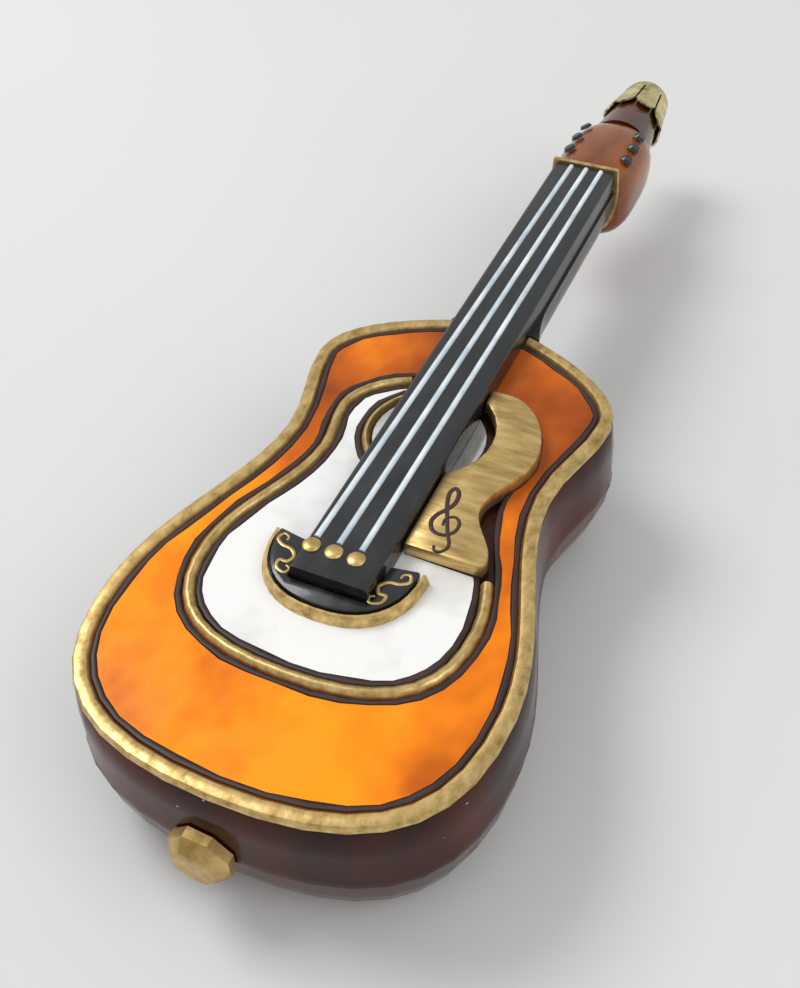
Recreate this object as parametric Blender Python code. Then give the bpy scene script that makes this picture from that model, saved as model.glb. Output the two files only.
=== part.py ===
"""Blown glass Christmas ornament in the shape of an acoustic guitar, lying on its back.

X runs across the body, Y from the tail to the hanging cap, Z up. The origin is on the surface that
the back rests on, under the middle of the whole ornament. Lengths are metres, angles degrees.
"""
import math

import bmesh
import bpy
from mathutils import Matrix, Vector

# Body outline, seen from above: half widths with their distances from the tail
BODY_LENGTH = 0.0953
LOWER_BOUT_WIDTH = 0.0600
LOWER_BOUT_AT = BODY_LENGTH * 0.26233
WAIST_WIDTH = 0.0430
WAIST_AT = BODY_LENGTH * 0.64533
UPPER_BOUT_WIDTH = 0.0502
UPPER_BOUT_AT = BODY_LENGTH * 0.83421
OUTLINE_STEPS = 9

# Body side: glass depth, mould seam, rounding to the back
BODY_DEPTH = 0.0240
SEAM_HEIGHT = 0.0122
SEAM_RIDGE = 0.0002
SEAM_WIDTH = 0.0008
SIDE_BULGE = 0.0008
BACK_ROUNDING = 0.0068
TOP_EDGE_ROUNDING = 0.0006
GLASS_WALL = 0.0012

# Gold edge band and the lacquered fields inside it
BAND_WIDTH = 0.0023
BAND_HEIGHT = 0.0013
FIELD_THICKNESS = 0.0008
GAP = 0.0003

# White panel outline: half widths with their distances from the tail
PANEL_BOTTOM_AT = BODY_LENGTH * 0.20357
PANEL_LOWER_WIDTH = 0.0410
PANEL_LOWER_AT = BODY_LENGTH * 0.36726
PANEL_WAIST_WIDTH = 0.0280
PANEL_WAIST_AT = BODY_LENGTH * 0.61910
PANEL_UPPER_WIDTH = 0.0308
PANEL_UPPER_AT = BODY_LENGTH * 0.71878
PANEL_TOP_AT = BODY_LENGTH * 0.83421
BEAD_WIDTH = 0.0019
BEAD_HEIGHT = 0.0015

# Sound hole, rosette and pickguard
HOLE_BELOW_PANEL_TOP = 0.0125
HOLE_AT = PANEL_TOP_AT - HOLE_BELOW_PANEL_TOP
DISH_RADIUS = 0.0088
DISH_RIM = 0.0007
DISH_FLOOR = 0.0002
ROSETTE_RADIUS = 0.0098
ROSETTE_WIDTH = 0.0014
ROSETTE_HEIGHT = 0.0014
PICKGUARD_THICKNESS = 0.0024
PICKGUARD_BELOW_HOLE = 0.0232
PICKGUARD_LOWER_AT = HOLE_AT - PICKGUARD_BELOW_HOLE
PICKGUARD_ABOVE_HOLE = 0.0112
PICKGUARD_UPPER_AT = HOLE_AT + PICKGUARD_ABOVE_HOLE
PICKGUARD_FOOT_WIDTH = 0.0180
PICKGUARD_WAIST_WIDTH = 0.0136
PICKGUARD_WAIST_BELOW_HOLE = 0.0128
PICKGUARD_WAIST_AT = HOLE_AT - PICKGUARD_WAIST_BELOW_HOLE
PICKGUARD_BULGE_WIDTH = 0.0176
PICKGUARD_BULGE_BELOW_HOLE = 0.0007
PICKGUARD_BULGE_AT = HOLE_AT - PICKGUARD_BULGE_BELOW_HOLE
PICKGUARD_HOLE_RADIUS = 0.0102
EDGE_BEVEL = 0.0004

# Fingerboard, strings and their end dots
FINGERBOARD_WIDTH = 0.0116
FINGERBOARD_THICKNESS = 0.0042
BOARD_END_BELOW_PICKGUARD = 0.0110
FINGERBOARD_END_AT = PICKGUARD_LOWER_AT - BOARD_END_BELOW_PICKGUARD
FINGERBOARD_ROUNDING = 0.0006
NUT_AT = 0.1416
STRING_WIDTH = 0.0009
STRING_HEIGHT = 0.0004
STRING_SPACING_AT_DOTS = 0.0034
STRING_SPACING_AT_NUT = 0.0029
STRING_SHIFT_AT_DOTS = -0.0012
STRING_SHIFT_AT_NUT = 0.0004
DOT_DIAMETER = 0.0026
DOT_HEIGHT = 0.0005
DOTS_ABOVE_BOARD_END = 0.0044
DOTS_AT = FINGERBOARD_END_AT + DOTS_ABOVE_BOARD_END

# Bridge plate
BRIDGE_WIDTH = 0.0240
BRIDGE_SHIFT = -0.0004
BRIDGE_ABOVE_BOARD_END = 0.0074
BRIDGE_UPPER_AT = FINGERBOARD_END_AT + BRIDGE_ABOVE_BOARD_END
BRIDGE_REACH = 0.0117
BRIDGE_HOLLOW = 0.0012
BRIDGE_THICKNESS = 0.0022
BRIDGE_EDGE_WIDTH = 0.0009
BRIDGE_EDGE_HEIGHT = 0.0017

# Neck under the fingerboard
NECK_WIDTH = 0.0124
NECK_DEPTH = 0.0094
HEEL_WIDTH = 0.0170
HEEL_DEPTH = 0.0128
HEEL_LENGTH = 0.0090
BORE_RADIUS = 0.0030
AXIS_BELOW_TOP = 0.0040

# Nut collar, head and tuning pegs
NUT_LENGTH = 0.0009
NUT_STEP = 0.0005
HEAD_LENGTH = 0.0220
HEAD_WIDTH = 0.0176
HEAD_DEPTH = 0.0156
PEG_DIAMETER = 0.0026
PEG_HEIGHT = 0.0006
PEG_ROWS = 3
PEG_PITCH = 0.0047
FIRST_PEG_FROM_NUT = 0.0075
PEG_ANGLE = 36

# Glass spout, pressed cap and hanger wire
SPOUT_LENGTH = 0.0200
SPOUT_ROOT_RADIUS = 0.0064
SPOUT_MOUTH_RADIUS = 0.0043
SPOUT_WALL = 0.0010
CAP_SHEET = 0.0004
CAP_SKIRT = 0.0092
CAP_PETALS = 8
CAP_SLIT = 0.0004
CAP_TIP_DROP = 0.0018
CAP_FLARE = 0.0003
WIRE_DIAMETER = 0.0008
WIRE_SPAN = 0.0052
WIRE_HOLE_CLEARANCE = 0.0003
WIRE_LEG = 0.0120
WIRE_FOOT = 0.0003

# End button on the tail
BUTTON_WIDTH = 0.0096
BUTTON_FACE_WIDTH = 0.0066
BUTTON_HEIGHT = 0.0030
BUTTON_SHIFT = -0.0018
BUTTON_SIDES = 8

# Places that follow from the sizes above
TAIL_REACH = SIDE_BULGE + SEAM_RIDGE + BUTTON_HEIGHT
HEAD_START = NUT_AT + NUT_LENGTH + 2 * GAP
SPOUT_START = HEAD_START + HEAD_LENGTH + GAP
SPOUT_END = SPOUT_START + SPOUT_LENGTH
CAP_END = SPOUT_END + GAP + CAP_SHEET
HEAD_REACH = CAP_END + GAP + WIRE_DIAMETER
TAIL_Y = (TAIL_REACH - HEAD_REACH) / 2
FIELD_TOP = BODY_DEPTH + FIELD_THICKNESS
FINGERBOARD_TOP = FIELD_TOP + FINGERBOARD_THICKNESS
AXIS_Z = BODY_DEPTH - AXIS_BELOW_TOP
SMALL_STEPS = 8
ROUND_STEPS = 32


def clear_scene():
    for item in list(bpy.data.objects):
        bpy.data.objects.remove(item, do_unlink=True)


def material(name, colour, roughness, metallic=0.0):
    """Principled material shared by pieces of one finish."""
    found = bpy.data.materials.get(name)
    if found:
        return found
    made = bpy.data.materials.new(name)
    made.use_nodes = True
    made.diffuse_color = (*colour, 1.0)
    shader = made.node_tree.nodes["Principled BSDF"]
    shader.inputs["Base Color"].default_value = (*colour, 1.0)
    shader.inputs["Roughness"].default_value = roughness
    shader.inputs["Metallic"].default_value = metallic
    return made


def dark_lacquer():
    return material("dark_lacquer", (0.055, 0.020, 0.018), 0.15)


def amber_lacquer():
    return material("amber_lacquer", (0.90, 0.36, 0.02), 0.18)


def pearl_lacquer():
    return material("pearl_lacquer", (0.90, 0.90, 0.87), 0.2)


def gold_paint():
    return material("gold_paint", (0.62, 0.47, 0.20), 0.35, 0.9)


def black_enamel():
    return material("black_enamel", (0.012, 0.013, 0.014), 0.25)


def mahogany_lacquer():
    return material("mahogany_lacquer", (0.22, 0.055, 0.014), 0.15)


def string_white():
    return material("string_white", (0.80, 0.88, 0.92), 0.3)


def cap_metal():
    return material("cap_metal", (0.62, 0.55, 0.22), 0.28, 1.0)


def wire_metal():
    return material("wire_metal", (0.70, 0.66, 0.50), 0.3, 1.0)


def place(name, bm, finish, sharp_angle=35):
    """Closes a mesh in outline coordinates (Y from the tail) as an object in the part's frame."""
    bmesh.ops.translate(bm, verts=bm.verts, vec=(0, TAIL_Y, 0))
    bmesh.ops.recalc_face_normals(bm, faces=bm.faces)
    mesh = bpy.data.meshes.new(name)
    bm.to_mesh(mesh)
    bm.free()
    mesh.shade_smooth()
    mesh.set_sharp_from_angle(angle=math.radians(sharp_angle))
    piece = bpy.data.objects.new(name, mesh)
    bpy.context.collection.objects.link(piece)
    if finish:
        mesh.materials.append(finish)
    return piece


def cutter(name, bm):
    """A hidden guide that only cuts its neighbours."""
    guide = place(name, bm, None)
    guide.hide_render = True
    guide.display_type = "WIRE"
    return guide


def cut(piece, *guides):
    for guide in guides:
        step = piece.modifiers.new("cut_" + guide.name, "BOOLEAN")
        step.operation = "DIFFERENCE"
        step.object = guide


def bezier(start, start_handle, end_handle, end, steps):
    """Points along one curved stretch, without its last point."""
    points = []
    for i in range(steps):
        t = i / steps
        weights = ((1 - t) ** 3, 3 * t * (1 - t) ** 2, 3 * t * t * (1 - t), t ** 3)
        corners = (start, start_handle, end_handle, end)
        points.append(
            tuple(sum(w * corner[k] for w, corner in zip(weights, corners)) for k in range(2))
        )
    return points


def guitar_half(bottom, lower, waist, upper, top, top_handle):
    """Right half of a guitar outline from its bottom to its top, as bezier stretches."""
    fullness = 0.7
    belly = 0.36
    flow = 0.34
    shoulder = 0.5
    points = bezier(
        bottom,
        (lower[0] * fullness, bottom[1]),
        (lower[0], lower[1] - (lower[1] - bottom[1]) * fullness),
        lower,
        OUTLINE_STEPS,
    )
    points += bezier(
        lower,
        (lower[0], lower[1] + (waist[1] - lower[1]) * belly),
        (waist[0], waist[1] - (waist[1] - lower[1]) * flow),
        waist,
        OUTLINE_STEPS,
    )
    points += bezier(
        waist,
        (waist[0], waist[1] + (upper[1] - waist[1]) * flow),
        (upper[0], upper[1] - (upper[1] - waist[1]) * flow),
        upper,
        OUTLINE_STEPS // 2,
    )
    points += bezier(
        upper,
        (upper[0], upper[1] + (top[1] - upper[1]) * shoulder),
        top_handle,
        top,
        OUTLINE_STEPS,
    )
    return points + [top]


def body_half():
    neck_half = FINGERBOARD_WIDTH / 2 + GAP
    run = UPPER_BOUT_WIDTH / 2 - neck_half
    top_handle = (neck_half + run * 0.37, BODY_LENGTH - (BODY_LENGTH - UPPER_BOUT_AT) * 0.15)
    return guitar_half(
        (0.0, 0.0),
        (LOWER_BOUT_WIDTH / 2, LOWER_BOUT_AT),
        (WAIST_WIDTH / 2, WAIST_AT),
        (UPPER_BOUT_WIDTH / 2, UPPER_BOUT_AT),
        (neck_half, BODY_LENGTH),
        top_handle,
    )


def panel_half():
    return guitar_half(
        (0.0, PANEL_BOTTOM_AT),
        (PANEL_LOWER_WIDTH / 2, PANEL_LOWER_AT),
        (PANEL_WAIST_WIDTH / 2, PANEL_WAIST_AT),
        (PANEL_UPPER_WIDTH / 2, PANEL_UPPER_AT),
        (0.0, PANEL_TOP_AT),
        (PANEL_UPPER_WIDTH * 0.27, PANEL_TOP_AT),
    )


def mirrored(half):
    """Open path from the last point of the right half, round the bottom, to the left end."""
    left = [(-x, y) for x, y in half[1:]]
    return half[::-1] + left


def closed_loop(half):
    """Closed outline; a top point on the middle line is used once."""
    path = mirrored(half)
    if abs(half[-1][0]) < 1e-6:
        path = path[:-1]
    return path


def directions(path, is_closed):
    """Unit normals on the right-hand side of the path's direction."""
    count = len(path)
    normals = []
    for i in range(count):
        before = path[(i - 1) % count] if is_closed or i else path[i]
        after = path[(i + 1) % count] if is_closed or i < count - 1 else path[i]
        run = Vector((after[0] - before[0], after[1] - before[1])).normalized()
        normals.append((run.y, -run.x))
    return normals


def outset(path, distance, is_closed=True):
    """Path moved outward; the outlines here run clockwise, so outward is to the left."""
    normals = directions(path, is_closed)
    return [
        (x - nx * distance, y - ny * distance) for (x, y), (nx, ny) in zip(path, normals)
    ]


def skin(rings, is_tube=False):
    """Closed mesh through rings of equal count; a tube joins its last ring to its first."""
    bm = bmesh.new()
    rows = [[bm.verts.new(point) for point in ring] for ring in rings]
    pairs = list(zip(rows, rows[1:] + rows[:1])) if is_tube else list(zip(rows, rows[1:]))
    for low, high in pairs:
        for i in range(len(low)):
            j = (i + 1) % len(low)
            bm.faces.new((low[i], low[j], high[j], high[i]))
    if not is_tube:
        bm.faces.new(rows[0])
        bm.faces.new(rows[-1])
    return bm


def swept(path, section, is_closed=False):
    """Solid of one (outward distance, height) section along a path in the XY plane."""
    normals = directions(path, is_closed)
    rings = []
    for (x, y), (nx, ny) in zip(path, normals):
        rings.append([(x - nx * out, y - ny * out, z) for out, z in section])
    return skin(rings, is_tube=is_closed)


def plate(outline, low, high, bevel=0.0):
    """Flat plate with its upper edge taken off by a bevel."""
    rings = [[(x, y, low) for x, y in outline]]
    if bevel:
        rings.append([(x, y, high - bevel) for x, y in outline])
        outline = outset(outline, -bevel)
    rings.append([(x, y, high) for x, y in outline])
    return skin(rings)


def half_round(width, low, height):
    """Half-round section standing on a flat, as (outward distance, height) points."""
    points = []
    for i in range(SMALL_STEPS):
        angle = math.pi * i / (SMALL_STEPS - 1)
        points.append((width / 2 * math.cos(angle), low + height * math.sin(angle)))
    return points


def turned(profile, centre, steps=ROUND_STEPS, turn=0.0):
    """Solid of revolution about a line along Y; profile is (radius, distance along Y)."""
    rings = []
    for radius, along in profile:
        ring = []
        for i in range(steps):
            angle = turn + 2 * math.pi * i / steps
            ring.append(
                (
                    centre[0] + radius * math.cos(angle),
                    centre[1] + along,
                    centre[2] + radius * math.sin(angle),
                )
            )
        rings.append(ring)
    return skin(rings)


def side_profile(grow):
    """(outward distance, height) from the flat back up to the flat top; grow moves it outward."""
    points = []
    back_steps = 5
    across = BACK_ROUNDING + SIDE_BULGE
    for i in range(back_steps):
        angle = math.pi / 2 * i / back_steps
        out = SIDE_BULGE - across + (across + grow) * math.sin(angle)
        height = SEAM_HEIGHT - (SEAM_HEIGHT + grow) * math.cos(angle)
        points.append((out, height))
    ridge = SEAM_RIDGE if grow >= 0 else 0.0
    points.append((SIDE_BULGE + grow, SEAM_HEIGHT - SEAM_WIDTH))
    points.append((SIDE_BULGE + ridge + grow, SEAM_HEIGHT))
    points.append((SIDE_BULGE + grow, SEAM_HEIGHT + SEAM_WIDTH))
    top = BODY_DEPTH + grow
    middle = (SEAM_HEIGHT + SEAM_WIDTH + top) / 2
    points.append((SIDE_BULGE * 0.75 + grow, middle))
    points.append((grow, top - TOP_EDGE_ROUNDING))
    points.append((grow - TOP_EDGE_ROUNDING, top))
    return points


def body_form(grow=0.0, extra_top=0.0):
    """Closed form of the glass body; grow offsets it, extra_top carries its wall straight up."""
    loop = closed_loop(body_half())
    rings = []
    for out, height in side_profile(grow):
        rings.append([(x, y, height) for x, y in outset(loop, out)])
    if extra_top:
        height = BODY_DEPTH + extra_top
        rings[-1] = [(x, y, height) for x, y in outset(loop, grow)]
    return skin(rings)


def glass_passage():
    """Bore that joins the inside of body, neck and head to the open spout."""
    start = BODY_LENGTH - GLASS_WALL * 4
    return turned(
        [(BORE_RADIUS, start), (BORE_RADIUS, SPOUT_START + GAP)],
        (0, 0, AXIS_Z),
        steps=ROUND_STEPS // 2,
    )


def make_body(passage):
    body = place("glass_body", body_form(), dark_lacquer(), 50)
    cut(body, cutter("body_hollow", body_form(-GLASS_WALL)), passage)


def fingerboard_footprint():
    """Room that the fingerboard takes out of pieces which stand beside it."""
    half = FINGERBOARD_WIDTH / 2 + GAP
    outline = [
        (-half, FINGERBOARD_END_AT - GAP),
        (half, FINGERBOARD_END_AT - GAP),
        (half, NUT_AT),
        (-half, NUT_AT),
    ]
    return plate(outline, FIELD_TOP - GAP, FINGERBOARD_TOP + GAP)


def make_fields():
    panel = closed_loop(panel_half())
    bead_room = BEAD_WIDTH / 2 + GAP
    amber_outline = outset(closed_loop(body_half()), -BAND_WIDTH - GAP)
    amber = place("amber_top", plate(amber_outline, BODY_DEPTH, FIELD_TOP), amber_lacquer())
    opening = plate(outset(panel, bead_room), BODY_DEPTH - GAP, FIELD_TOP + GAP)
    cut(amber, cutter("amber_opening", opening))
    white_outline = outset(panel, -bead_room)
    white = place("white_panel", plate(white_outline, BODY_DEPTH, FIELD_TOP), pearl_lacquer())
    room = ROSETTE_RADIUS + ROSETTE_WIDTH / 2 + GAP
    cut(white, cutter("rosette_room", disc(room, BODY_DEPTH - GAP, FIELD_TOP + GAP)))


def disc(radius, low, high):
    """Upright round block about the sound hole."""
    outline = []
    for i in range(ROUND_STEPS):
        angle = -2 * math.pi * i / ROUND_STEPS
        outline.append((radius * math.cos(angle), HOLE_AT + radius * math.sin(angle)))
    return plate(outline, low, high)


def make_band(board):
    low = BODY_DEPTH
    high = BODY_DEPTH + BAND_HEIGHT
    section = [
        (0.0, low),
        (0.0, low + BAND_HEIGHT * 0.5),
        (-BAND_WIDTH * 0.15, low + BAND_HEIGHT * 0.85),
        (-BAND_WIDTH * 0.5, high),
        (-BAND_WIDTH * 0.85, low + BAND_HEIGHT * 0.85),
        (-BAND_WIDTH, low + BAND_HEIGHT * 0.5),
        (-BAND_WIDTH, low),
    ]
    band = place("rim_band", swept(mirrored(body_half()), section), gold_paint())
    cut(band, board)


def make_bead():
    """Half-round bead round the white panel, from the fingerboard to the pickguard's foot."""
    path = mirrored(panel_half())
    left_limit = -FINGERBOARD_WIDTH / 2 - GAP
    kept = []
    for x, y in path:
        beside_board = x < left_limit
        below_guard = y < PICKGUARD_LOWER_AT - GAP
        if (x > 0 and below_guard) or (x <= 0 and (beside_board or y < HOLE_AT)):
            kept.append((x, y))
    section = half_round(BEAD_WIDTH, BODY_DEPTH, BEAD_HEIGHT)
    place("panel_bead", swept(kept, section), gold_paint())


def make_sound_hole():
    steps = 4
    rings = []
    profile = [(DISH_RADIUS, BODY_DEPTH), (DISH_RADIUS, BODY_DEPTH + DISH_RIM)]
    for i in range(steps - 1, 0, -1):
        radius = (DISH_RADIUS - GAP) * i / steps
        rise = (DISH_RIM - DISH_FLOOR) * (i / steps) ** 2
        profile.append((radius, BODY_DEPTH + DISH_FLOOR + rise))
    for radius, height in profile:
        ring = []
        for i in range(ROUND_STEPS):
            angle = 2 * math.pi * i / ROUND_STEPS
            ring.append((radius * math.cos(angle), HOLE_AT + radius * math.sin(angle), height))
        rings.append(ring)
    place("sound_hole_dish", skin(rings), pearl_lacquer())


def make_rosette():
    """Raised ring on the side of the sound hole that the pickguard leaves free."""
    start = math.acos((FINGERBOARD_WIDTH / 2 + GAP + ROSETTE_WIDTH / 2) / ROSETTE_RADIUS)
    steps = 16
    path = []
    for i in range(steps + 1):
        angle = math.pi - start + 2 * start * i / steps
        path.append((ROSETTE_RADIUS * math.cos(angle), HOLE_AT + ROSETTE_RADIUS * math.sin(angle)))
    section = half_round(ROSETTE_WIDTH, BODY_DEPTH, ROSETTE_HEIGHT)
    place("rosette_ring", swept(path, section), gold_paint())


def pickguard_outline():
    inner = FINGERBOARD_WIDTH / 2 + GAP
    foot = (PICKGUARD_FOOT_WIDTH, PICKGUARD_LOWER_AT + PICKGUARD_THICKNESS / 2)
    waist = (PICKGUARD_WAIST_WIDTH, PICKGUARD_WAIST_AT)
    bulge = (PICKGUARD_BULGE_WIDTH, PICKGUARD_BULGE_AT)
    tip = (inner + (PICKGUARD_BULGE_WIDTH - inner) * 0.25, PICKGUARD_UPPER_AT)
    rise = (waist[1] - foot[1]) * 0.38
    climb = (bulge[1] - waist[1]) * 0.36
    steps = OUTLINE_STEPS
    points = bezier(foot, (foot[0], foot[1] + rise), (waist[0], waist[1] - rise), waist, steps)
    points += bezier(waist, (waist[0], waist[1] + climb), (bulge[0], bulge[1] - climb), bulge, steps)
    top_rise = (tip[1] - bulge[1]) * 0.5
    points += bezier(bulge, (bulge[0], bulge[1] + top_rise), (bulge[0] * 0.75, tip[1]), tip, steps)
    points += [tip, (inner, PICKGUARD_UPPER_AT), (inner, PICKGUARD_LOWER_AT)]
    points += bezier(
        (PICKGUARD_FOOT_WIDTH - EDGE_BEVEL * 2, PICKGUARD_LOWER_AT),
        (PICKGUARD_FOOT_WIDTH, PICKGUARD_LOWER_AT),
        foot,
        foot,
        3,
    )
    return points[::-1]


def make_pickguard():
    body = plate(pickguard_outline(), FIELD_TOP, FIELD_TOP + PICKGUARD_THICKNESS)
    guard = place("pickguard", body, gold_paint())
    hole = disc(PICKGUARD_HOLE_RADIUS, FIELD_TOP - GAP, FIELD_TOP + PICKGUARD_THICKNESS + GAP)
    cut(guard, cutter("pickguard_hole", hole))
    add_bevel(guard, EDGE_BEVEL)


def add_bevel(piece, width):
    step = piece.modifiers.new("edge", "BEVEL")
    step.width = width
    step.segments = 2
    step.limit_method = "ANGLE"
    step.angle_limit = math.radians(60)


def bridge_arc(inset):
    """Lower edge of the crescent from its right tip to its left tip."""
    steps = 20
    squareness = 0.85
    half = BRIDGE_WIDTH / 2 - inset
    reach = BRIDGE_REACH - inset
    points = []
    for i in range(steps + 1):
        angle = math.pi * i / steps
        across = math.copysign(abs(math.cos(angle)) ** squareness, math.cos(angle))
        down = math.sin(angle) ** squareness
        points.append((BRIDGE_SHIFT + half * across, BRIDGE_UPPER_AT - reach * down))
    return points


def make_bridge(board):
    inset = BRIDGE_EDGE_WIDTH + GAP
    arc = bridge_arc(inset)
    steps = 8
    hollow = []
    for i in range(1, steps):
        t = i / steps
        x = arc[-1][0] + (arc[0][0] - arc[-1][0]) * t
        hollow.append((x, BRIDGE_UPPER_AT - BRIDGE_HOLLOW * math.sin(math.pi * t)))
    top = FIELD_TOP + BRIDGE_THICKNESS
    crescent = plate(arc + hollow, FIELD_TOP, top)
    bridge = place("bridge_plate", crescent, black_enamel())
    cut(bridge, board)
    add_bevel(bridge, EDGE_BEVEL)
    low = FIELD_TOP
    section = [
        (0.0, low),
        (0.0, low + BRIDGE_EDGE_HEIGHT * 0.2),
        (-BRIDGE_EDGE_WIDTH * 0.55, low + BRIDGE_EDGE_HEIGHT),
        (-BRIDGE_EDGE_WIDTH, low + BRIDGE_EDGE_HEIGHT),
        (-BRIDGE_EDGE_WIDTH, low),
    ]
    place("bridge_edge", swept(bridge_arc(0.0), section), gold_paint())


def make_fingerboard():
    half = FINGERBOARD_WIDTH / 2
    rounding = FINGERBOARD_ROUNDING
    section = [(-half, FIELD_TOP), (half, FIELD_TOP)]
    steps = 3
    for side in (1, -1):
        corner = []
        for i in range(steps + 1):
            angle = math.pi / 2 * i / steps
            corner.append(
                (
                    side * (half - rounding + rounding * math.cos(angle)),
                    FINGERBOARD_TOP - rounding + rounding * math.sin(angle),
                )
            )
        section += corner if side == 1 else corner[::-1]
    rings = [[(x, y, z) for x, z in section] for y in (FINGERBOARD_END_AT, NUT_AT)]
    place("fingerboard", skin(rings), black_enamel())


def string_line(index):
    """X of one string at the dots and at the nut."""
    at_dots = STRING_SHIFT_AT_DOTS + (index - 1) * STRING_SPACING_AT_DOTS
    at_nut = STRING_SHIFT_AT_NUT + (index - 1) * STRING_SPACING_AT_NUT
    return at_dots, at_nut


def make_strings():
    start = DOTS_AT + DOT_DIAMETER / 2 + GAP
    section = half_round(STRING_WIDTH, FINGERBOARD_TOP, STRING_HEIGHT)
    for index in range(3):
        at_dots, at_nut = string_line(index)
        path = [(at_dots, start), (at_nut, NUT_AT - GAP)]
        name = ("bass_string", "middle_string", "treble_string")[index]
        place(name, swept(path, section), string_white())
        make_dot(index, at_dots)


def make_dot(index, x):
    """Low domed end dot of one string."""
    rings = []
    radius = DOT_DIAMETER / 2
    for share, rise in ((1.0, 0.0), (1.0, 0.4), (0.75, 0.85), (0.3, 1.0)):
        ring = []
        for i in range(ROUND_STEPS // 2):
            angle = 4 * math.pi * i / ROUND_STEPS
            px = x + radius * share * math.cos(angle)
            py = DOTS_AT + radius * share * math.sin(angle)
            ring.append((px, py, FINGERBOARD_TOP + DOT_HEIGHT * rise))
        rings.append(ring)
    name = ("bass_end_dot", "middle_end_dot", "treble_end_dot")[index]
    place(name, skin(rings), gold_paint(), 60)


def neck_section(half_width, depth, grow=0.0):
    """Flat top with a full rounded underside, as (x, z) points."""
    points = []
    steps = 18
    squareness = 0.72
    for i in range(steps + 1):
        angle = math.pi * i / steps
        across = math.copysign(abs(math.cos(angle)) ** squareness, math.cos(angle))
        down = math.sin(angle) ** squareness
        points.append(((half_width + grow) * across, FIELD_TOP - (depth + grow) * down))
    return points


def make_neck(passage):
    """Neck whose heel swells towards the body and is trimmed to the body's wall."""
    inside = BODY_LENGTH - SIDE_BULGE - GLASS_WALL
    steps = 5
    stations = []
    for i in range(steps + 1):
        share = i / steps
        swell = (1 - share) ** 2
        along = inside + (HEEL_LENGTH + BODY_LENGTH - inside) * share
        half = NECK_WIDTH / 2 + (HEEL_WIDTH - NECK_WIDTH) / 2 * swell
        stations.append((along, half, NECK_DEPTH + (HEEL_DEPTH - NECK_DEPTH) * swell))
    stations.append((NUT_AT, NECK_WIDTH / 2, NECK_DEPTH))
    rings = []
    for along, half, depth in stations:
        rings.append([(x, along, z) for x, z in neck_section(half, depth)])
    neck = place("neck", skin(rings), black_enamel())
    body_room = cutter("body_room", body_form(GAP, FIELD_THICKNESS * 4))
    cut(neck, body_room, passage)


def make_nut(passage):
    """Gold collar that closes the fingerboard and neck at the head."""
    start = NUT_AT + GAP
    outline = neck_section(NECK_WIDTH / 2, NECK_DEPTH, NUT_STEP)
    lift = FINGERBOARD_THICKNESS + NUT_STEP
    half = FINGERBOARD_WIDTH / 2 + NUT_STEP
    outline = outline + [(-half, FIELD_TOP + lift), (half, FIELD_TOP + lift)]
    rings = [[(x, y, z) for x, z in outline] for y in (start, start + NUT_LENGTH)]
    nut = place("nut", skin(rings), gold_paint())
    cut(nut, passage)


def head_size(share):
    """Half width and half depth of the head at a share of its length."""
    width = HEAD_WIDTH / 2
    depth = HEAD_DEPTH / 2
    swell = (1 - abs(2 * share - 0.86) ** 2.6 * 0.256) ** 0.5
    swell *= 1 - 0.15 * abs(2 * share - 1) ** 12
    return width * swell, depth * swell


def head_point(share, angle, lift=0.0):
    """Point on the head's surface; angle 90 degrees is the top."""
    half_width, half_depth = head_size(share)
    squareness = 0.85
    cos, sin = math.cos(angle), math.sin(angle)
    x = (half_width + lift) * math.copysign(abs(cos) ** squareness, cos)
    z = (half_depth + lift) * math.copysign(abs(sin) ** squareness, sin)
    return Vector((x, HEAD_START + HEAD_LENGTH * share, AXIS_Z + z))


def make_head(passage):
    steps = 12
    around = 28
    rings = []
    for i in range(steps + 1):
        share = (1 - math.cos(math.pi * i / steps)) / 2
        rings.append([tuple(head_point(share, 2 * math.pi * k / around)) for k in range(around)])
    head = place("head", skin(rings), mahogany_lacquer(), 60)
    cut(head, passage)


def make_pegs():
    """Low dark pegs, three each side, standing on the head's rounded top."""
    number = 0
    for side in (-1, 1):
        for row in range(PEG_ROWS):
            number += 1
            share = (FIRST_PEG_FROM_NUT + row * PEG_PITCH) / HEAD_LENGTH
            angle = math.radians(90 - side * PEG_ANGLE)
            small = 0.02
            seat = head_point(share, angle)
            along = head_point(share + small, angle) - head_point(share - small, angle)
            around = head_point(share, angle + small) - head_point(share, angle - small)
            normal = along.cross(around).normalized()
            if normal.z < 0:
                normal.negate()
            seat += normal * (GAP + PEG_HEIGHT / 2 + PEG_DIAMETER ** 2 / HEAD_WIDTH / 4)
            bm = bmesh.new()
            turn = normal.to_track_quat("Z", "Y").to_matrix().to_4x4()
            bmesh.ops.create_cone(
                bm,
                cap_ends=True,
                segments=SMALL_STEPS + 4,
                radius1=PEG_DIAMETER / 2,
                radius2=PEG_DIAMETER * 0.36,
                depth=PEG_HEIGHT,
                matrix=Matrix.Translation(seat) @ turn,
            )
            place("tuning_peg_%d" % number, bm, black_enamel(), 60)


def spout_radius(along):
    """Outer radius of the tapering spout at a distance from its root."""
    share = along / SPOUT_LENGTH
    return SPOUT_ROOT_RADIUS + (SPOUT_MOUTH_RADIUS - SPOUT_ROOT_RADIUS) * share


def make_spout():
    outer = [(spout_radius(SPOUT_LENGTH * i / 4), SPOUT_LENGTH * i / 4) for i in range(5)]
    inner = [(radius - SPOUT_WALL, along) for radius, along in outer[::-1]]
    profile = outer + inner
    rings = []
    centre = (0, SPOUT_START, AXIS_Z)
    for radius, along in profile:
        ring = []
        for i in range(ROUND_STEPS):
            angle = 2 * math.pi * i / ROUND_STEPS
            ring.append((radius * math.cos(angle), centre[1] + along, centre[2] + radius * math.sin(angle)))
        rings.append(ring)
    place("spout", skin(rings, is_tube=True), mahogany_lacquer(), 50)


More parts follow.
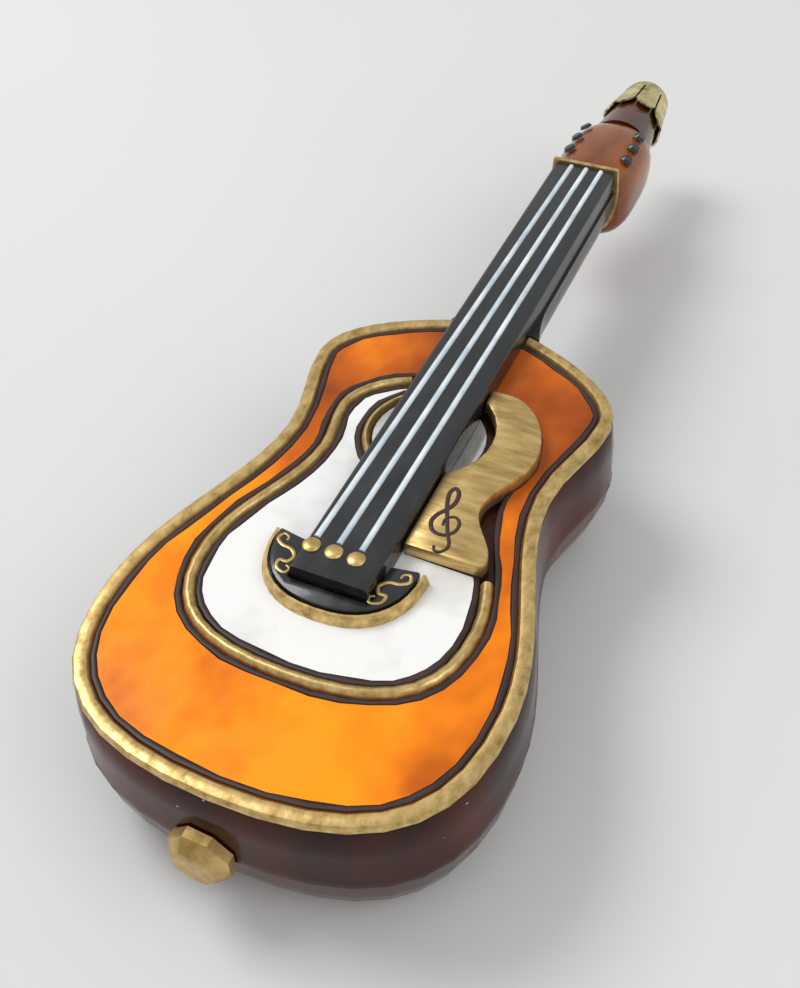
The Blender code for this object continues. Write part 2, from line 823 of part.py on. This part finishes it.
def make_cap():
    """Pressed cap: flat crown with two wire holes and a flared skirt of pointed tongues."""
    per_petal = 8
    around = CAP_PETALS * per_petal
    crown = SPOUT_END + GAP
    columns = []
    for i in range(around):
        angle = 2 * math.pi * i / around
        phase = abs((i % per_petal) / per_petal * 2 - 1)
        drop = CAP_TIP_DROP * (1 - phase ** 2)
        inside, outside = [], []
        for share in (0.0, 0.33, 0.66, 1.0):
            length = (CAP_SKIRT + drop) * share
            along = SPOUT_LENGTH - length
            flare = CAP_FLARE * share ** 2
            radius = spout_radius(along) + GAP + flare
            inside.append((radius, SPOUT_START + along))
            outside.append((radius + CAP_SHEET, SPOUT_START + along))
        profile = [(0.25 * inside[0][0], crown), (inside[0][0], crown)] + inside[1:]
        profile += outside[:0:-1]
        profile += [
            (outside[0][0], crown - CAP_SHEET / 2),
            (outside[0][0] - CAP_SHEET / 2, crown + CAP_SHEET * 0.7),
            (outside[0][0] - CAP_SHEET * 1.5, crown + CAP_SHEET),
            (0.25 * inside[0][0], crown + CAP_SHEET),
        ]
        columns.append((angle, profile))
    rings = []
    for k in range(len(columns[0][1])):
        ring = []
        for angle, profile in columns:
            radius, along = profile[k]
            ring.append((radius * math.cos(angle), along, AXIS_Z + radius * math.sin(angle)))
        rings.append(ring)
    cap = place("cap", skin(rings), cap_metal(), 40)
    cut(cap, cutter("cap_slits", cap_slits()), cutter("wire_holes", wire_holes()))


def cap_slits():
    """Thin radial blocks between the tongues."""
    bm = bmesh.new()
    length = CAP_SKIRT * 0.8
    reach = SPOUT_ROOT_RADIUS * 2
    inner = SPOUT_MOUTH_RADIUS * 0.8
    start = SPOUT_END - CAP_SKIRT - CAP_TIP_DROP * 2
    end = start + CAP_TIP_DROP * 2 + length
    for i in range(CAP_PETALS):
        angle = 2 * math.pi * i / CAP_PETALS
        block = bmesh.ops.create_cube(bm, size=1.0)["verts"]
        bmesh.ops.scale(bm, vec=(reach - inner, end - start, CAP_SLIT), verts=block)
        bmesh.ops.translate(bm, vec=((reach + inner) / 2, 0, 0), verts=block)
        turn = Matrix.Rotation(-angle, 3, "Y")
        bmesh.ops.rotate(bm, matrix=turn, verts=block)
        bmesh.ops.translate(bm, vec=(0, (start + end) / 2, AXIS_Z), verts=block)
    return bm


def wire_holes():
    bm = bmesh.new()
    for side in (-1, 1):
        turn = Matrix.Rotation(math.radians(90), 4, "X")
        spot = Matrix.Translation((side * WIRE_SPAN / 2, SPOUT_END + GAP, AXIS_Z))
        bmesh.ops.create_cone(
            bm,
            cap_ends=True,
            segments=SMALL_STEPS + 4,
            radius1=WIRE_DIAMETER / 2 + WIRE_HOLE_CLEARANCE,
            radius2=WIRE_DIAMETER / 2 + WIRE_HOLE_CLEARANCE,
            depth=CAP_SHEET * 4,
            matrix=spot @ turn,
        )
    return bm


def make_hanger():
    """Spring wire pushed in: its bow lies just above the crown, its legs inside the spout."""
    half = WIRE_SPAN / 2
    bow = CAP_END + GAP + WIRE_DIAMETER / 2
    corner = WIRE_DIAMETER
    leg_end = SPOUT_END - WIRE_LEG
    right = [(half + WIRE_FOOT, leg_end), (half, leg_end + WIRE_FOOT * 6), (half, bow - corner)]
    for i in range(1, 4):
        angle = math.pi / 2 * i / 3
        right.append((half - corner + corner * math.cos(angle), bow - corner + corner * math.sin(angle)))
    points = right + [(-x, y) for x, y in right[::-1]]
    curve = bpy.data.curves.new("hanger_wire", "CURVE")
    curve.dimensions = "3D"
    curve.bevel_depth = WIRE_DIAMETER / 2
    curve.bevel_resolution = 2
    curve.use_fill_caps = True
    spline = curve.splines.new("POLY")
    spline.points.add(len(points) - 1)
    for spot, (x, y) in zip(spline.points, points):
        spot.co = (x, TAIL_Y + y, AXIS_Z, 1)
    curve.materials.append(wire_metal())
    bpy.context.collection.objects.link(bpy.data.objects.new("hanger_wire", curve))


def make_end_button():
    """Eight-sided knob with a bevelled face, trimmed to the tail's wall."""
    seat = SIDE_BULGE + SEAM_RIDGE
    centre = (BUTTON_SHIFT, 0, SEAM_HEIGHT)
    root = BUTTON_WIDTH / 2
    profile = [
        (root, GLASS_WALL),
        (root, -seat - BUTTON_HEIGHT * 0.45),
        (BUTTON_FACE_WIDTH / 2, -seat - BUTTON_HEIGHT),
    ]
    turn = math.pi / BUTTON_SIDES
    button = place("end_button", turned(profile, centre, BUTTON_SIDES, turn), gold_paint())
    cut(button, bpy.data.objects["body_room"])


def build():
    clear_scene()
    passage = cutter("glass_passage", glass_passage())
    board = cutter("fingerboard_room", fingerboard_footprint())
    make_body(passage)
    make_fields()
    make_band(board)
    make_bead()
    make_sound_hole()
    make_rosette()
    make_pickguard()
    make_bridge(board)
    make_fingerboard()
    make_strings()
    make_neck(passage)
    make_nut(passage)
    make_head(passage)
    make_pegs()
    make_spout()
    make_cap()
    make_hanger()
    make_end_button()


build()
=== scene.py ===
"""Looks of the glass guitar ornament: lacquers, gold paint, painted lines, camera and light."""

import math

import bmesh
import bpy
from mathutils import Euler, Matrix, Vector


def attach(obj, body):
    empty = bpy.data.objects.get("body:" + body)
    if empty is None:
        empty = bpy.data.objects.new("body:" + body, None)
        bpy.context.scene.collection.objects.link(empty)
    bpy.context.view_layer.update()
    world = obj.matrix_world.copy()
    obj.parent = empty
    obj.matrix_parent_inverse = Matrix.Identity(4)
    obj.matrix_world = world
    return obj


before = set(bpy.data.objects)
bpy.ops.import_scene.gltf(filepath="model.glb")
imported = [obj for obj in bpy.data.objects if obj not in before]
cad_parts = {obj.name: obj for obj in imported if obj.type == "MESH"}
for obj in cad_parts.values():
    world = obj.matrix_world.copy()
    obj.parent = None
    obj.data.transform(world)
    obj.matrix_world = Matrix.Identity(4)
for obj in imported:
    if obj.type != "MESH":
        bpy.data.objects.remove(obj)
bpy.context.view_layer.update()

# Camera that matches the photograph
CAMERA_PLACE = (0.0542, -0.1461, 0.1524)
CAMERA_TILT = 46.5
CAMERA_TURN = 26.14
CAMERA_ROLL = -2.6
FOCAL_LENGTH = 43.7
SENSOR_WIDTH = 36.0
NEAREST_SEEN = 0.001

# Studio: each lamp's place and size in metres and its power in watts
WINDOW_LAMP = ((-0.55, 0.05, 0.75), 0.45, 3.9)
FILL_LAMP = ((0.50, -0.10, 0.55), 0.50, 1.0)
LAMP_TARGET = (0, 0, 0.01)
SKY_LIGHT = 0.60
BACKDROP_WHITE = 1.0
FLOOR_SIZE = 6.0

# Painted lines and small ornaments
LINE_WIDTH = 0.0007
LINE_HEIGHT = 0.00006
PICKGUARD_LINE_WIDTH = LINE_WIDTH * 0.7
PEN_RADIUS = 0.00030
PEN_FLATNESS = 0.35
PEN_LIFT = PEN_RADIUS * 0.1
PEN_SIDES = 8
CURVE_STEPS = 8
SCROLL_PEN_RADIUS = PEN_RADIUS * 0.9
SCROLL_SIZE = 0.0068

# A painted line's cross-section: shares of its width and of its height
LINE_SECTION = ((-0.35, -0.5), (0.0, 0.8), (0.5, 1.0), (1.0, 0.0), (0.5, -0.5))

# Scroll in shares of its size, and where it starts from the bridge plate's corners, with its turn in degrees
SCROLL_POINTS = [
    (0.10, 0.06), (0.00, 0.10), (-0.10, 0.00), (0.02, -0.12), (0.20, -0.04), (0.34, 0.14),
    (0.54, 0.20), (0.66, 0.06), (0.60, -0.10), (0.78, -0.16), (0.94, -0.02), (0.86, 0.10), (0.76, 0.04),
]
BASS_SCROLL_START = (0.0014, -0.0016)
BASS_SCROLL_TURN = -62
TREBLE_SCROLL_START = (-0.0013, -0.0018)
TREBLE_SCROLL_TURN = -118

# Treble clef on the pickguard, in millimetres
CLEF_POINTS = [
    (9.9, -42.7), (9.8, -41.4), (10.9, -40.6), (11.9, -41.4), (11.9, -43.1), (10.7, -44.3), (9.0, -44.1),
    (8.1, -42.6), (8.4, -41.0), (9.3, -39.6), (9.9, -38.0), (9.7, -36.2), (8.9, -35.4), (8.4, -36.4),
    (8.8, -38.4), (9.7, -40.6), (11.0, -43.6), (12.1, -45.8), (11.6, -47.2), (10.6, -47.4), (10.2, -46.6),
]

# Shading of the CAD nodes: edges sharper than this angle in degrees stay sharp
SHARP_ANGLE = 38
WELD_DISTANCE = 0.000001
SAME_LEVEL = 1e-5
KEYS_PER_METRE = 1e6

# Amber field: where its painted glow of light begins under the neck and is full at the tail
GLOW_START_Y = -0.005
GLOW_FULL_Y = -0.085

# Texture scales in cells per metre
AMBER_CLOUDS = 55.0
AMBER_GRAIN = 260.0
PEARL_CLOUDS = 70.0
DISH_CLOUDS = 150.0
GLASS_PATCHES = 48.0
SPECK_CELLS = 330.0
SPECK_CHOICE = 400.0
CAP_BARS = 260.0
CAP_TARNISH = 350.0
BAND_GRAIN = 800.0
BUTTON_GRAIN = 130.0
PICKGUARD_GRAIN = 520.0
WIRE_GRAIN = 900.0
BLACK_GRAIN = 300.0
HEAD_GRAIN = 90.0
SPOUT_GRAIN = 120.0
STRING_GRAIN = 420.0
FLOOR_CLOUDS = 4.0
EVEN = (1.0, 1.0, 1.0)

# Colours in linear light
BURNT = (0.25, 0.045, 0.001)
ORANGE = (0.52, 0.105, 0.001)
SUNNY = (0.90, 0.230, 0.002)
# Painted glow of light at the tail of the amber field
TAIL_GLOW = (1.0, 0.31, 0.003)
AUBERGINE = (0.018, 0.007, 0.006)
WINE = (0.090, 0.014, 0.005)
SPECK = (0.62, 0.58, 0.55)
OUTLINE_WORN = (0.045, 0.018, 0.016)
GOLD_DARK = (0.32, 0.20, 0.060)
GOLD_LIGHT = (0.80, 0.58, 0.24)
PEARL = (0.92, 0.92, 0.90)
PEARL_SHADE = (0.62, 0.62, 0.58)
SILVER_SHADE = (0.45, 0.45, 0.46)
BLACK = (0.008, 0.009, 0.010)
BLACK_WORN = (0.018, 0.020, 0.022)
MAHOGANY = (0.36, 0.105, 0.014)
MAHOGANY_DARK = (0.110, 0.022, 0.006)
SPOUT_DARK = (0.030, 0.008, 0.004)
STRING_BLUE = (0.50, 0.62, 0.70)
STRING_WHITE = (0.90, 0.95, 0.97)
CAP_DARK = (0.34, 0.28, 0.07)
CAP_LIGHT = (0.92, 0.82, 0.42)
FLOOR_SHADE = (0.70, 0.70, 0.70)
FLOOR_PALE = (0.74, 0.74, 0.735)


def finish(name, roughness, metallic=0.0, coat=0.0, mirror=0.5):
    """New material with its node tree, its shader and its object coordinates."""
    made = bpy.data.materials.new(name)
    made.use_nodes = True
    tree = made.node_tree
    shader = tree.nodes["Principled BSDF"]
    shader.inputs["Roughness"].default_value = roughness
    shader.inputs["Metallic"].default_value = metallic
    shader.inputs["Coat Weight"].default_value = coat
    shader.inputs["Specular IOR Level"].default_value = mirror
    shader.inputs["Coat Roughness"].default_value = 0.06
    place = tree.nodes.new("ShaderNodeTexCoord")
    return made, tree, shader, place.outputs["Object"]


def stretched(tree, vector, scale):
    """Coordinates scaled by axis, so that a texture runs into strokes."""
    mapping = tree.nodes.new("ShaderNodeMapping")
    mapping.inputs["Scale"].default_value = scale
    tree.links.new(vector, mapping.inputs["Vector"])
    return mapping.outputs["Vector"]


def clouds(tree, vector, scale, detail=4.0, roughness=0.55):
    """Soft noise between 0 and 1."""
    noise = tree.nodes.new("ShaderNodeTexNoise")
    noise.inputs["Scale"].default_value = scale
    noise.inputs["Detail"].default_value = detail
    noise.inputs["Roughness"].default_value = roughness
    tree.links.new(vector, noise.inputs["Vector"])
    return noise.outputs["Fac"]


def ramp(tree, value, stops):
    """Colour from a value, by stops of position and colour."""
    node = tree.nodes.new("ShaderNodeValToRGB")
    items = node.color_ramp.elements
    while len(items) < len(stops):
        items.new(0.5)
    for item, (position, colour) in zip(items, stops):
        item.position = position
        item.color = (*colour, 1.0)
    tree.links.new(value, node.inputs["Fac"])
    return node.outputs["Color"]


def span(tree, value, low, high, to_low=0.0, to_high=1.0):
    """Value brought from one range into another and held inside it."""
    node = tree.nodes.new("ShaderNodeMapRange")
    node.inputs["From Min"].default_value = low
    node.inputs["From Max"].default_value = high
    node.inputs["To Min"].default_value = to_low
    node.inputs["To Max"].default_value = to_high
    tree.links.new(value, node.inputs["Value"])
    return node.outputs["Result"]


def combine(tree, operation, first, second):
    """Result of a value with a number or with a second value."""
    node = tree.nodes.new("ShaderNodeMath")
    node.operation = operation
    tree.links.new(first, node.inputs[0])
    if isinstance(second, float):
        node.inputs[1].default_value = second
    else:
        tree.links.new(second, node.inputs[1])
    return node.outputs[0]


def along(tree, vector, axis):
    """One axis of the coordinates."""
    split = tree.nodes.new("ShaderNodeSeparateXYZ")
    tree.links.new(vector, split.inputs[0])
    return split.outputs[axis]


def relief(tree, shader, height, strength, distance):
    """Fine unevenness in the shading."""
    bump = tree.nodes.new("ShaderNodeBump")
    bump.inputs["Strength"].default_value = strength
    bump.inputs["Distance"].default_value = distance
    tree.links.new(height, bump.inputs["Height"])
    tree.links.new(bump.outputs["Normal"], shader.inputs["Normal"])


def amber():
    """Cloudy, translucent lacquer, burnt at the neck and brightened towards the tail by painted light, with
    a weak painted glow over all of it.
    """
    made, tree, shader, place = finish("amber lacquer", 0.22, coat=0.08, mirror=0.25)
    wide = clouds(tree, stretched(tree, place, (1.0, 0.7, 1.0)), AMBER_CLOUDS, 3.0)
    fine = clouds(tree, place, AMBER_GRAIN, 5.0)
    # Painted light: the lacquer is made brighter and brighter towards the tail
    towards_tail = span(tree, along(tree, place, "Y"), GLOW_START_Y, GLOW_FULL_Y)
    glow = combine(tree, "MULTIPLY", towards_tail, 0.34)
    mixed = combine(tree, "ADD", combine(tree, "MULTIPLY", wide, 1.15), glow)
    mixed = combine(tree, "ADD", mixed, combine(tree, "MULTIPLY", fine, 0.10))
    colour = ramp(tree, mixed, [(0.50, BURNT), (0.70, ORANGE), (0.88, SUNNY), (1.0, TAIL_GLOW)])
    tree.links.new(colour, shader.inputs["Base Color"])
    # Painted glow: the lacquer's colour is also sent out as light, so it glows though it is no lamp
    tree.links.new(colour, shader.inputs["Emission Color"])
    shader.inputs["Emission Strength"].default_value = 0.14
    tree.links.new(span(tree, fine, 0.3, 0.7, 0.16, 0.30), shader.inputs["Roughness"])
    relief(tree, shader, wide, 0.25, 0.0008)
    return made


def pearl():
    """Pearly white lacquer with soft grey shading."""
    made, tree, shader, place = finish("pearl lacquer", 0.2, coat=0.2)
    soft = clouds(tree, place, PEARL_CLOUDS, 3.0)
    colour = ramp(tree, soft, [(0.25, PEARL_SHADE), (0.5, PEARL)])
    tree.links.new(colour, shader.inputs["Base Color"])
    tree.links.new(span(tree, soft, 0.3, 0.7, 0.14, 0.28), shader.inputs["Roughness"])
    relief(tree, shader, soft, 0.3, 0.0006)
    return made


def silver_dish():
    """Mirrored glass of the sound hole."""
    made, tree, shader, place = finish("silvered glass", 0.12, metallic=0.75)
    soft = clouds(tree, place, DISH_CLOUDS, 3.0)
    colour = ramp(tree, soft, [(0.3, SILVER_SHADE), (0.6, PEARL)])
    tree.links.new(colour, shader.inputs["Base Color"])
    tree.links.new(span(tree, soft, 0.3, 0.7, 0.08, 0.2), shader.inputs["Roughness"])
    return made


def gold(name, stretch, grain):
    """Brushed antique gold paint with darker streaks."""
    made, tree, shader, place = finish(name, 0.36, metallic=0.85)
    strokes = clouds(tree, stretched(tree, place, stretch), grain, 6.0, 0.65)
    colour = ramp(tree, strokes, [(0.12, AUBERGINE), (0.30, GOLD_DARK), (0.66, GOLD_LIGHT)])
    tree.links.new(colour, shader.inputs["Base Color"])
    tree.links.new(span(tree, strokes, 0.3, 0.7, 0.48, 0.28), shader.inputs["Roughness"])
    relief(tree, shader, strokes, 0.22, 0.0002)
    return made


def dark_glass():
    """Dark, glossy lacquer with reddish patches and a few pale specks."""
    made, tree, shader, place = finish("aubergine lacquer", 0.16, coat=0.05, mirror=0.22)
    patches = clouds(tree, place, GLASS_PATCHES)
    shade = ramp(tree, patches, [(0.38, AUBERGINE), (0.68, WINE)])
    dots = tree.nodes.new("ShaderNodeTexVoronoi")
    dots.inputs["Scale"].default_value = SPECK_CELLS
    tree.links.new(place, dots.inputs["Vector"])
    rare = clouds(tree, place, SPECK_CHOICE, 1.0)
    near = span(tree, dots.outputs["Distance"], 0.05, 0.09, 1.0, 0.0)
    speck = combine(tree, "MULTIPLY", near, span(tree, rare, 0.62, 0.66))
    mix = tree.nodes.new("ShaderNodeMix")
    mix.data_type = "RGBA"
    mix.inputs["B"].default_value = (*SPECK, 1.0)
    tree.links.new(speck, mix.inputs["Factor"])
    tree.links.new(shade, mix.inputs["A"])
    tree.links.new(mix.outputs["Result"], shader.inputs["Base Color"])
    tree.links.new(span(tree, patches, 0.3, 0.7, 0.10, 0.24), shader.inputs["Roughness"])
    relief(tree, shader, patches, 0.15, 0.0006)
    return made


def enamel(name, low, high, roughness, grain, coat=0.3):
    """Painted enamel between two colours, with strokes along the neck."""
    made, tree, shader, place = finish(name, roughness, coat=coat)
    soft = clouds(tree, stretched(tree, place, (1.0, 0.35, 1.0)), grain, 5.0)
    tree.links.new(ramp(tree, soft, [(0.35, low), (0.68, high)]), shader.inputs["Base Color"])
    worn = span(tree, soft, 0.3, 0.7, roughness - 0.06, roughness + 0.12)
    tree.links.new(worn, shader.inputs["Roughness"])
    relief(tree, shader, soft, 0.25, 0.0002)
    return made


def pressed_cap():
    """Tarnished cap metal with faint cross bars."""
    made, tree, shader, place = finish("pressed cap metal", 0.3, metallic=1.0)
    bars = tree.nodes.new("ShaderNodeTexWave")
    bars.bands_direction = "Y"
    bars.inputs["Scale"].default_value = CAP_BARS
    bars.inputs["Distortion"].default_value = 2.0
    tree.links.new(place, bars.inputs["Vector"])
    tarnish = clouds(tree, place, CAP_TARNISH)
    tree.links.new(ramp(tree, tarnish, [(0.3, CAP_DARK), (0.65, CAP_LIGHT)]), shader.inputs["Base Color"])
    tree.links.new(span(tree, tarnish, 0.3, 0.7, 0.24, 0.42), shader.inputs["Roughness"])
    relief(tree, shader, bars.outputs["Fac"], 0.5, 0.0003)
    return made


def corner_key(point):
    """Whole micrometres, so that corners of neighbouring faces are found to be the same."""
    return tuple(round(value * KEYS_PER_METRE) for value in point)


def edge_loops(node, at_top=True):
    """Closed outlines of a plate's flat top or bottom face, as lists of points."""
    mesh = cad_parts[node].data
    heights = [vertex.co.z for vertex in mesh.vertices]
    level = max(heights) if at_top else min(heights)
    counts = {}
    spots = {}
    for face in mesh.polygons:
        corners = [mesh.vertices[i].co for i in face.vertices]
        if any(abs(corner.z - level) > SAME_LEVEL for corner in corners):
            continue
        for a, b in zip(corners, corners[1:] + corners[:1]):
            keys = (corner_key(a), corner_key(b))
            spots[keys[0]] = a.copy()
            counts.setdefault(frozenset(keys), []).append(keys)
    ahead = {}
    for uses in counts.values():
        if len(uses) == 1:
            start, end = uses[0]
            ahead[start] = end
    loops = []
    while ahead:
        start = next(iter(ahead))
        loop = [start]
        following = ahead.pop(start)
        while following in ahead:
            loop.append(following)
            following = ahead.pop(following)
        loops.append([spots[key] for key in loop])
    return loops


def join_rows(bm, rows):
    """Faces between each ring of corners and the next."""
    for row, following in zip(rows, rows[1:]):
        for k in range(len(row)):
            j = (k + 1) % len(row)
            bm.faces.new((row[k], row[j], following[j], following[k]))


def painted_line(name, loop, paint, width=LINE_WIDTH):
    """Slightly uneven raised line along the left side of a closed outline."""
    bm = bmesh.new()
    rows = []
    count = len(loop)
    for i, point in enumerate(loop):
        run = (loop[(i + 1) % count] - loop[i - 1]).normalized()
        across = Vector((-run.y, run.x, 0))
        wobble = 1 + 0.16 * math.sin(i * 1.7) + 0.10 * math.sin(i * 4.1)
        row = []
        for share, rise in LINE_SECTION:
            spot = point + across * width * share * (wobble if share > 0 else 1.0)
            spot.z += LINE_HEIGHT * rise
            row.append(bm.verts.new(spot))
        rows.append(row)
    join_rows(bm, rows + rows[:1])
    return solid(name, bm, paint)


def solid(name, bm, paint):
    """Painted piece on the ornament from a finished bmesh."""
    bmesh.ops.recalc_face_normals(bm, faces=bm.faces)
    mesh = bpy.data.meshes.new(name)
    bm.to_mesh(mesh)
    bm.free()
    mesh.shade_smooth()
    mesh.materials.append(paint)
    piece = bpy.data.objects.new(name, mesh)
    bpy.context.collection.objects.link(piece)
    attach(piece, "ornament")
    return piece


def smooth_route(points):
    """Catmull-Rom curve through given points."""
    ends = [points[0]] + points + [points[-1]]
    route = []
    for a, b, c, d in zip(ends, ends[1:], ends[2:], ends[3:]):
        for i in range(CURVE_STEPS):
            t = i / CURVE_STEPS
            spot = 2 * b + (c - a) * t + (2 * a - 5 * b + 4 * c - d) * t * t
            spot += (3 * b - a - 3 * c + d) * t ** 3
            route.append(spot / 2)
    return route + [points[-1]]


def brush_stroke(name, points, height, paint, radius=PEN_RADIUS):
    """Flattened painted stroke that swells in its middle."""
    route = smooth_route([Vector(point) for point in points])
    bm = bmesh.new()
    rows = []
    for i, spot in enumerate(route):
        before = route[max(i - 1, 0)]
        after = route[min(i + 1, len(route) - 1)]
        run = (after - before).normalized()
        across = Vector((-run.y, run.x))
        swell = 0.65 + 0.5 * math.sin(math.pi * i / (len(route) - 1))
        row = []
        for k in range(PEN_SIDES):
            angle = 2 * math.pi * k / PEN_SIDES
            side = across * radius * swell * math.cos(angle)
            rise = radius * PEN_FLATNESS * math.sin(angle)
            row.append(bm.verts.new((spot.x + side.x, spot.y + side.y, height + rise)))
        rows.append(row)
    join_rows(bm, rows)
    bm.faces.new(rows[0])
    bm.faces.new(rows[-1])
    return solid(name, bm, paint)


def box_of(node):
    """Low and high corner of a node from its vertices."""
    points = [vertex.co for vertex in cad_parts[node].data.vertices]
    low = Vector([min(point[k] for point in points) for k in range(3)])
    high = Vector([max(point[k] for point in points) for k in range(3)])
    return low, high


def add_clef(paint):
    """Traditional treble clef on the pickguard's foot."""
    high = box_of("pickguard")[1]
    points = [Vector((x, y)) / 1000 for x, y in CLEF_POINTS]
    brush_stroke("treble_clef", points, high.z + PEN_LIFT, paint)


def add_scrolls(paint):
    """Gold scroll at each tip of the bridge plate."""
    low, high = box_of("bridge_plate")
    bass = (low.x + BASS_SCROLL_START[0], high.y + BASS_SCROLL_START[1])
    treble = (high.x + TREBLE_SCROLL_START[0], high.y + TREBLE_SCROLL_START[1])
    scrolls = (
        ("bass_scroll", bass, BASS_SCROLL_TURN, 1),
        ("treble_scroll", treble, TREBLE_SCROLL_TURN, -1),
    )
    for name, start, turn, mirror in scrolls:
        turned = Matrix.Rotation(math.radians(turn), 2)
        points = []
        for across, up in SCROLL_POINTS:
            points.append(Vector(start) + turned @ Vector((across, up * mirror)) * SCROLL_SIZE)
        brush_stroke(name, points, high.z + PEN_LIFT, paint, SCROLL_PEN_RADIUS)


def dress_nodes():
    """Gives every CAD node its paint and returns the gold of the bands."""
    stroked = gold("gold paint", (0.8, 0.5, 1.0), BAND_GRAIN)
    button = gold("smooth gold paint", EVEN, BUTTON_GRAIN)
    brushed = gold("brushed gold paint", (0.25, 1.2, 1.0), PICKGUARD_GRAIN)
    black = enamel("black enamel", BLACK, BLACK_WORN, 0.26, BLACK_GRAIN)
    head = enamel("mahogany lacquer", MAHOGANY_DARK, MAHOGANY, 0.18, HEAD_GRAIN, 0.25)
    spout = enamel("dark spout lacquer", SPOUT_DARK, MAHOGANY_DARK, 0.18, SPOUT_GRAIN, 0.3)
    strings = enamel("string enamel", STRING_BLUE, STRING_WHITE, 0.3, STRING_GRAIN, 0.1)
    paints = {
        "glass_body": dark_glass(),
        "amber_top": amber(),
        "white_panel": pearl(),
        "sound_hole_dish": silver_dish(),
        "pickguard": brushed,
        "end_button": button,
        "head": head,
        "spout": spout,
        "cap": pressed_cap(),
        "hanger_wire": gold("gilt wire", EVEN, WIRE_GRAIN),
    }
    for name in ("fingerboard", "neck", "bridge_plate"):
        paints[name] = black
    for name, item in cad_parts.items():
        paint = paints.get(name)
        if paint is None and name.endswith("string"):
            paint = strings
        elif paint is None and name.startswith("tuning_peg"):
            paint = black
        elif paint is None:
            paint = stroked
        item.data.materials.clear()
        item.data.materials.append(paint)
        smooth(item)
    return stroked


def smooth(item):
    """Shades round surfaces smooth and leaves their sharp edges."""
    item.data.polygons.foreach_set("use_smooth", [True] * len(item.data.polygons))
    weld = item.modifiers.new("weld", "WELD")
    weld.merge_threshold = WELD_DISTANCE
    split = item.modifiers.new("sharp edges", "EDGE_SPLIT")
    split.split_angle = math.radians(SHARP_ANGLE)


def add_painted_details(gold_paint):
    """Dark outlines, clef and scrolls."""
    line = enamel("outline enamel", AUBERGINE, OUTLINE_WORN, 0.45, BLACK_GRAIN, 0.0)
    for node in ("amber_top", "white_panel"):
        for number, loop in enumerate(edge_loops(node)):
            painted_line("%s_line_%d" % (node, number), loop, line)
    for number, loop in enumerate(edge_loops("pickguard", at_top=False)):
        painted_line("pickguard_line_%d" % number, loop, line, PICKGUARD_LINE_WIDTH)
    add_clef(line)
    add_scrolls(gold_paint)


def add_floor():
    """Plain pale floor under the part."""
    bm = bmesh.new()
    bmesh.ops.create_grid(bm, x_segments=1, y_segments=1, size=FLOOR_SIZE)
    mesh = bpy.data.meshes.new("floor")
    bm.to_mesh(mesh)
    bm.free()
    made, tree, shader, place = finish("pale sweep", 0.7)
    soft = clouds(tree, place, FLOOR_CLOUDS, 2.0)
    colour = ramp(tree, soft, [(0.3, FLOOR_SHADE), (0.7, FLOOR_PALE)])
    tree.links.new(colour, shader.inputs["Base Color"])
    mesh.materials.append(made)
    floor = bpy.data.objects.new("floor", mesh)
    bpy.context.collection.objects.link(floor)


def add_light(name, place, size, power):
    """White disk lamp turned to the part."""
    data = bpy.data.lights.new(name, "AREA")
    data.shape = "DISK"
    data.size = size
    data.energy = power
    lamp = bpy.data.objects.new(name, data)
    lamp.location = place
    aim = Vector(LAMP_TARGET) - Vector(place)
    lamp.rotation_euler = aim.to_track_quat("-Z", "Y").to_euler()
    bpy.context.collection.objects.link(lamp)


def add_world():
    """Even white sky that the camera sees as a white backdrop."""
    world = bpy.data.worlds.new("studio")
    world.use_nodes = True
    back = world.node_tree.nodes["Background"]
    back.inputs["Color"].default_value = (1.0, 1.0, 1.0, 1.0)
    rays = world.node_tree.nodes.new("ShaderNodeLightPath")
    strength = span(world.node_tree, rays.outputs["Is Camera Ray"], 0.0, 1.0, SKY_LIGHT, BACKDROP_WHITE)
    world.node_tree.links.new(strength, back.inputs["Strength"])
    bpy.context.scene.world = world


def add_camera():
    """Camera at the photograph's place and angle."""
    data = bpy.data.cameras.new("photo camera")
    data.lens = FOCAL_LENGTH
    data.sensor_width = SENSOR_WIDTH
    data.clip_start = NEAREST_SEEN
    camera = bpy.data.objects.new("photo camera", data)
    aim = Euler((math.radians(90 - CAMERA_TILT), 0, math.radians(CAMERA_TURN))).to_matrix()
    roll = Matrix.Rotation(math.radians(CAMERA_ROLL), 3, "Z")
    camera.matrix_world = Matrix.Translation(CAMERA_PLACE) @ (aim @ roll).to_4x4()
    bpy.context.collection.objects.link(camera)
    bpy.context.scene.camera = camera


gold_stroke = dress_nodes()
add_painted_details(gold_stroke)
add_floor()
add_light("window", *WINDOW_LAMP)
add_light("fill", *FILL_LAMP)
add_world()
add_camera()
bpy.context.scene.view_settings.view_transform = "Standard"
